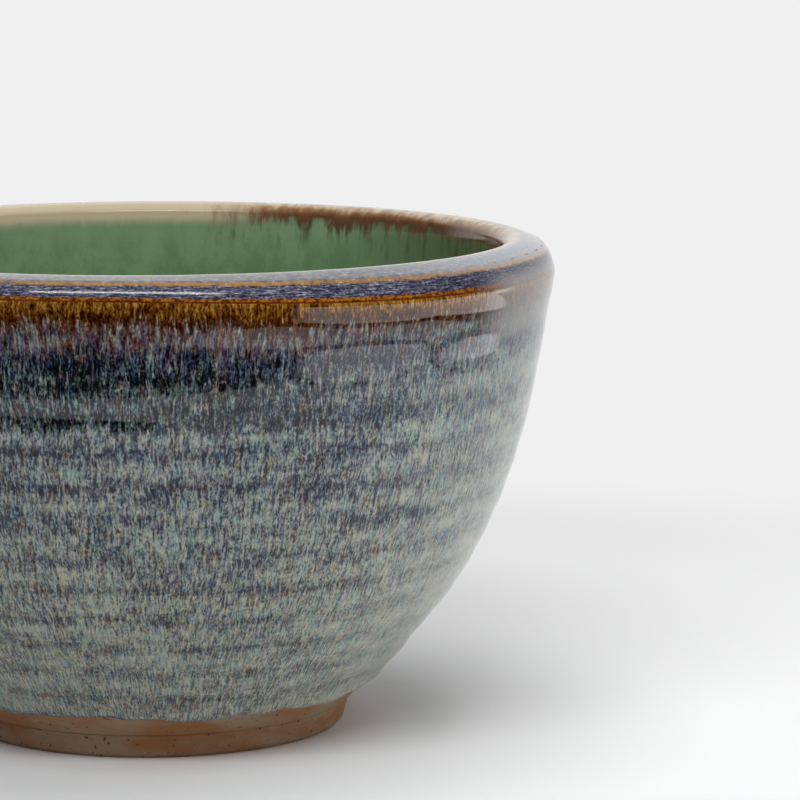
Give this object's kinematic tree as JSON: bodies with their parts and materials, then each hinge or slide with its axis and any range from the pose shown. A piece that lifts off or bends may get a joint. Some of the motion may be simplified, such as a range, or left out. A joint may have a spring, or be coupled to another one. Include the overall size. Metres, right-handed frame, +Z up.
{
  "type": "water lily pot",
  "caption": "Wide round stoneware bowl with a thick rounded lip and a foot ring, glazed inside and out, for growing water lilies in water.",
  "frame": {"origin": "on the ground under the middle of the foot ring", "axes": "+Z up along the axis on which the pot was turned, -Y towards the viewer of the picture"},
  "size_m": [0.3, 0.3, 0.1825],
  "materials": {
    "stoneware": "bare fired clay, matt",
    "streaked_glaze": "glossy grey-blue glaze with fine pale runs and brown breaks",
    "indigo_glaze": "glossy indigo glaze breaking amber on the edges",
    "green_glaze": "glossy green glaze"
  },
  "bodies": {
    "root": {"foot_ring": "stoneware", "floor_slab": "stoneware", "thrown_wall": "stoneware", "rim_lip": "stoneware", "outer_glaze": "streaked_glaze", "rim_glaze": "indigo_glaze", "inner_glaze": "green_glaze"}
  },
  "joints": []
}
